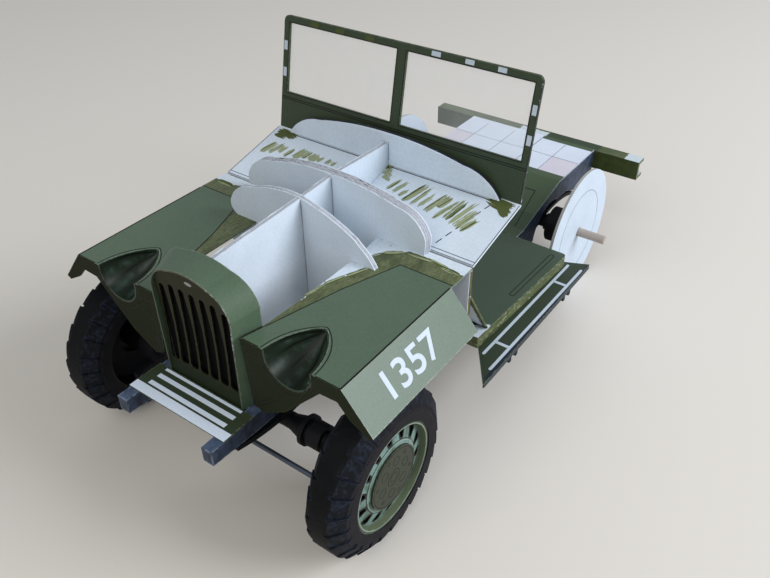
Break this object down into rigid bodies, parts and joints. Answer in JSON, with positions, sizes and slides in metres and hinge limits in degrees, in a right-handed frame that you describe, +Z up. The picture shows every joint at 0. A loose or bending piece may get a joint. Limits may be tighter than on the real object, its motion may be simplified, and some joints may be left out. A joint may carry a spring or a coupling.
{
  "type": "half-built card model of an open army 4x4 car",
  "caption": "Half-finished card model of an open army off-road car: ladder frame, round-topped radiator, flat wings, bare bonnet formers, split windscreen and rolling wheels.",
  "frame": {"origin": "on the ground, under the middle of the whole length and width", "axes": "+X to the car's left, -Y forwards, +Z up"},
  "size_m": [0.0688, 0.1302, 0.0648],
  "materials": {
    "green_card": "matte",
    "dark_green_card": "matte",
    "white_card": "matte",
    "grey_card": "matte",
    "black_card": "matte",
    "clear_film": "gloss",
    "peg_wood": "matte",
    "wire": "satin"
  },
  "bodies": {
    "chassis": {"bonnet_former_front": "white_card", "bonnet_former_rear": "white_card", "bonnet_spine_front": "white_card", "bonnet_spine_rear": "white_card", "cowl_deck": "white_card", "cowl_former": "white_card", "cross_members": "grey_card", "firewall": "white_card", "floor_box": "dark_green_card", "frame_rail_left": "grey_card", "frame_rail_right": "grey_card", "front_axle": "black_card", "front_cover_panel": "dark_green_card", "front_springs": "black_card", "grille": "green_card", "lamp_scoop_left": "green_card", "lamp_scoop_right": "green_card", "radiator_core": "black_card", "radiator_shell": "green_card", "rear_axle": "black_card", "rear_beam": "dark_green_card", "rear_cover": "dark_green_card", "rear_springs": "black_card", "running_board_left": "dark_green_card", "running_board_right": "dark_green_card", "steering_knuckle_left": "black_card", "steering_knuckle_right": "black_card", "step_brackets": "black_card", "tie_rod": "wire", "toe_board": "white_card", "windscreen_film": "clear_film", "windscreen_frame": "dark_green_card", "wing_left": "green_card", "wing_right": "green_card", "wooden_peg": "peg_wood"},
    "front_wheel_left": {"tyre_left": "black_card", "wheel_left": "green_card", "hub_disc_left": "green_card"},
    "front_wheel_right": {"tyre_right": "black_card", "wheel_right": "green_card", "hub_disc_right": "green_card"},
    "rear_wheel_left": {"rear_disc_left": "white_card"},
    "rear_wheel_right": {"rear_disc_right": "white_card"}
  },
  "joints": [
    {"name": "front_wheel_left_spin", "type": "hinge", "parent": "chassis", "child": "front_wheel_left", "pos_m": [0.0288, -0.04723, 0.015], "axis": [1, 0, 0], "continuous": true},
    {"name": "front_wheel_right_spin", "type": "hinge", "parent": "chassis", "child": "front_wheel_right", "pos_m": [-0.0288, -0.04723, 0.015], "axis": [1, 0, 0], "continuous": true},
    {"name": "rear_wheel_left_spin", "type": "hinge", "parent": "chassis", "child": "rear_wheel_left", "pos_m": [0.0253, 0.03678, 0.015], "axis": [1, 0, 0], "continuous": true},
    {"name": "rear_wheel_right_spin", "type": "hinge", "parent": "chassis", "child": "rear_wheel_right", "pos_m": [-0.0253, 0.03678, 0.015], "axis": [1, 0, 0], "continuous": true}
  ]
}
